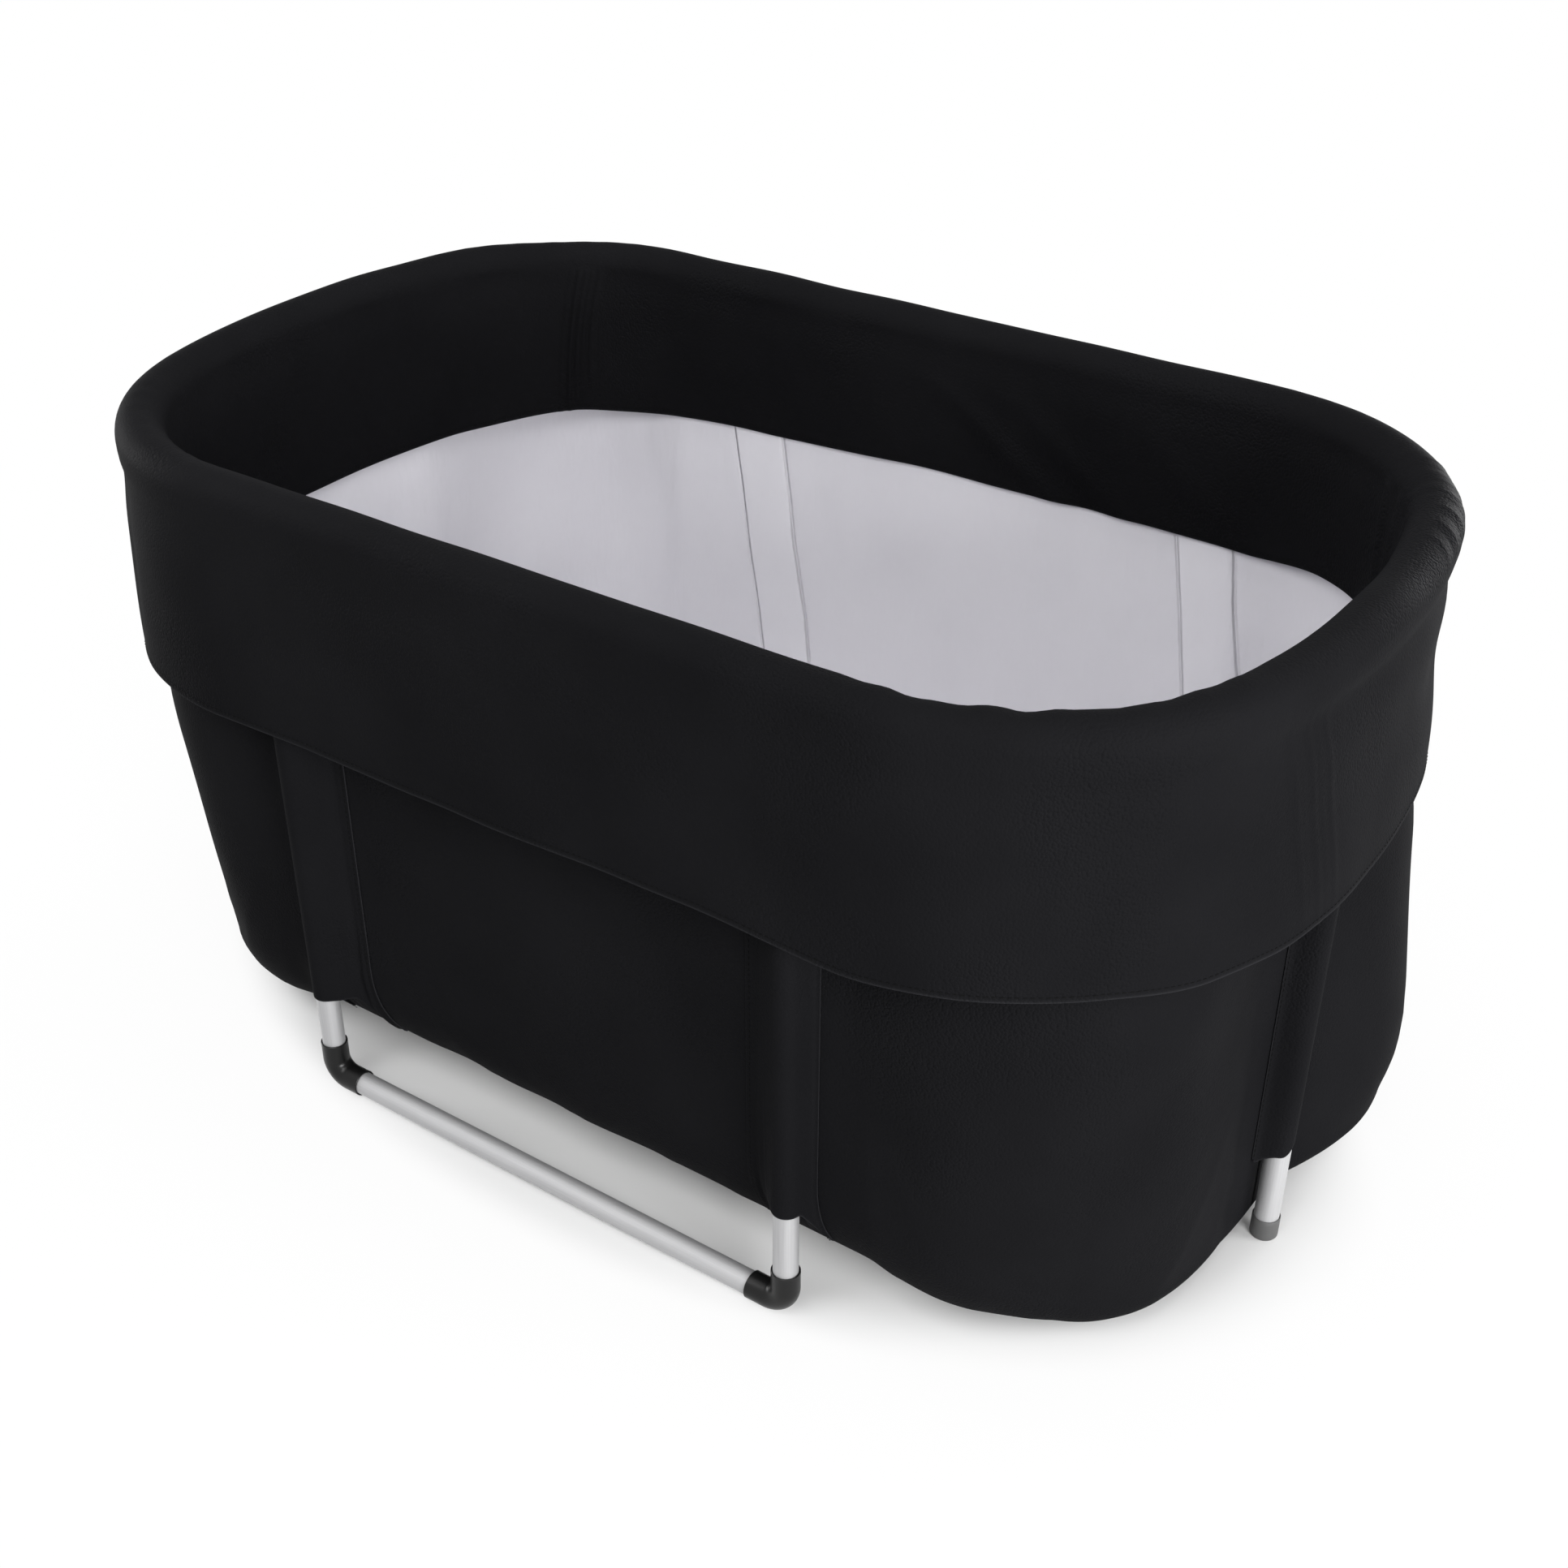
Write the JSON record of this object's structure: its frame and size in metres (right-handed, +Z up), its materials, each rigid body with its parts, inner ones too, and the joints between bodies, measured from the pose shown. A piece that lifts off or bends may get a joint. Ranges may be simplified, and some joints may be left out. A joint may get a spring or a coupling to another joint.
{
  "type": "ice bath tub",
  "caption": "Oval portable ice bath: a padded tube hoop on push-in legs holds a deep insulated fabric tub with a light liner and a capped drain.",
  "frame": {"origin": "on the floor, under the middle of the tub", "axes": "+X along the tub towards the end without the drain, -Y to its front side, +Z up"},
  "size_m": [1.3, 0.788, 0.706],
  "materials": {
    "satin_aluminium": "satin anodised",
    "black_plastic": "fine moulded",
    "grey_rubber": "matt",
    "black_fabric": "grained coated fabric",
    "grey_liner": "smooth coated fabric",
    "white_foam": "closed-cell foam sheet",
    "black_foam": "foam pipe padding"
  },
  "bodies": {
    "front_frame": {"leg_front_left": "satin_aluminium", "leg_front_right": "satin_aluminium", "elbow_front_left": "black_plastic", "elbow_front_right": "black_plastic", "base_rail_front": "satin_aluminium"},
    "tub_top": {"hoop_tube_front": "satin_aluminium", "hoop_foam_front": "black_foam", "wall_panel_front": "black_fabric", "hoop_tube_front_right": "satin_aluminium", "hoop_foam_front_right": "black_foam", "wall_panel_front_right": "black_fabric", "hoop_tube_back_right": "satin_aluminium", "hoop_foam_back_right": "black_foam", "wall_panel_back_right": "black_fabric", "hoop_tube_back": "satin_aluminium", "hoop_foam_back": "black_foam", "wall_panel_back": "black_fabric", "hoop_tube_back_left": "satin_aluminium", "hoop_foam_back_left": "black_foam", "wall_panel_back_left": "black_fabric", "hoop_tube_front_left": "satin_aluminium", "hoop_foam_front_left": "black_foam", "wall_panel_front_left": "black_fabric", "tee_front_left": "black_plastic", "leg_sleeve_front_left": "black_fabric", "tee_front_right": "black_plastic", "leg_sleeve_front_right": "black_fabric", "tee_right_end": "black_plastic", "leg_sleeve_right_end": "black_fabric", "tee_back_right": "black_plastic", "leg_sleeve_back_right": "black_fabric", "tee_back_left": "black_plastic", "leg_sleeve_back_left": "black_fabric", "tee_left_end": "black_plastic", "leg_sleeve_left_end": "black_fabric", "rim_cover": "black_fabric", "wall_insulation": "white_foam", "liner": "grey_liner", "floor_panel": "black_fabric", "floor_insulation": "white_foam", "drain_flange": "black_plastic", "drain_washer": "grey_rubber", "drain_nut": "black_plastic"},
    "back_frame": {"leg_back_left": "satin_aluminium", "leg_back_right": "satin_aluminium", "elbow_back_left": "black_plastic", "elbow_back_right": "black_plastic", "base_rail_back": "satin_aluminium"},
    "left_leg": {"leg_left_end": "satin_aluminium", "foot_cap_left_end": "grey_rubber"},
    "right_leg": {"leg_right_end": "satin_aluminium", "foot_cap_right_end": "grey_rubber"},
    "drain_cap": {"drain_cap": "black_plastic"}
  },
  "joints": [
    {"name": "tub_lift", "type": "slide", "parent": "front_frame", "child": "tub_top", "axis": [0, 0, 1], "range_m": [0, 0.56]},
    {"name": "back_frame_draw", "type": "slide", "parent": "tub_top", "child": "back_frame", "axis": [0, 0, -1], "range_m": [0, 0.56]},
    {"name": "left_leg_draw", "type": "slide", "parent": "tub_top", "child": "left_leg", "axis": [0, 0, -1], "range_m": [0, 0.56]},
    {"name": "right_leg_draw", "type": "slide", "parent": "tub_top", "child": "right_leg", "axis": [0, 0, -1], "range_m": [0, 0.56]},
    {"name": "drain_cap_pull", "type": "slide", "parent": "tub_top", "child": "drain_cap", "axis": [-0.9906, 0.1371, 0], "range_m": [0, 0.03]}
  ],
  "couplings": [
    {"joint": "back_frame_draw", "follows": "tub_lift", "ratio": 1},
    {"joint": "left_leg_draw", "follows": "tub_lift", "ratio": 1},
    {"joint": "right_leg_draw", "follows": "tub_lift", "ratio": 1}
  ]
}
